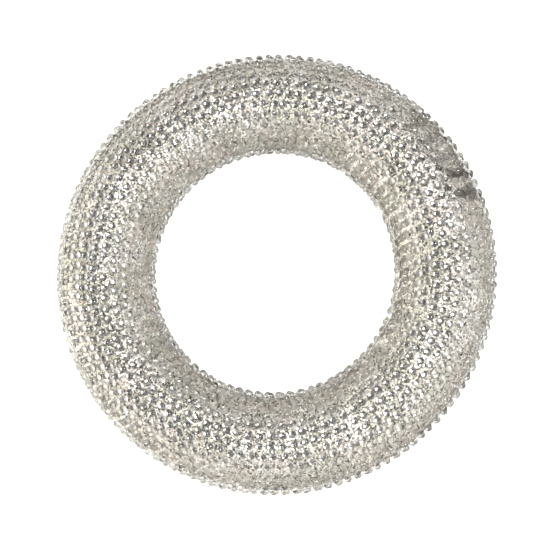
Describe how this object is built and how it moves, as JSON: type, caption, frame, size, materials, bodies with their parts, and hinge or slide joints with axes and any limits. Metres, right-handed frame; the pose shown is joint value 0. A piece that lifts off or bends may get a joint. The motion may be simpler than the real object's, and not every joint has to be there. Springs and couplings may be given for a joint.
{
  "type": "wreath frame",
  "caption": "Flat-backed foam wreath ring covered with silver film strips and clear glued beads.",
  "frame": {"origin": "middle of the ring on its flat back", "axes": "+Z along the ring's axis, out of the beaded front"},
  "size_m": [0.2999, 0.2999, 0.0578],
  "materials": {
    "foam": "white expanded polystyrene with a moulded skin",
    "film": "crinkled silver glitter film",
    "beads": "clear glossy acrylic"
  },
  "bodies": {
    "root": {"bead_row_01": "beads", "bead_row_02": "beads", "bead_row_03": "beads", "bead_row_04": "beads", "bead_row_05": "beads", "bead_row_06": "beads", "bead_row_07": "beads", "bead_row_08": "beads", "bead_row_09": "beads", "bead_row_10": "beads", "bead_row_11": "beads", "bead_row_12": "beads", "bead_row_13": "beads", "bead_row_14": "beads", "bead_row_15": "beads", "bead_row_16": "beads", "bead_row_17": "beads", "bead_row_18": "beads", "bead_row_19": "beads", "bead_row_20": "beads", "bead_row_21": "beads", "bead_row_22": "beads", "bead_row_23": "beads", "film_strips_01": "film", "film_strips_02": "film", "film_strips_03": "film", "film_strips_04": "film", "film_strips_05": "film", "film_strips_06": "film", "film_strips_07": "film", "film_strips_08": "film", "film_strips_09": "film", "film_strips_10": "film", "film_strips_11": "film", "film_strips_12": "film", "film_strips_13": "film", "film_strips_14": "film", "film_strips_15": "film", "film_strips_16": "film", "film_strips_17": "film", "film_strips_18": "film", "film_strips_19": "film", "film_strips_20": "film", "foam_core": "foam"}
  },
  "joints": []
}
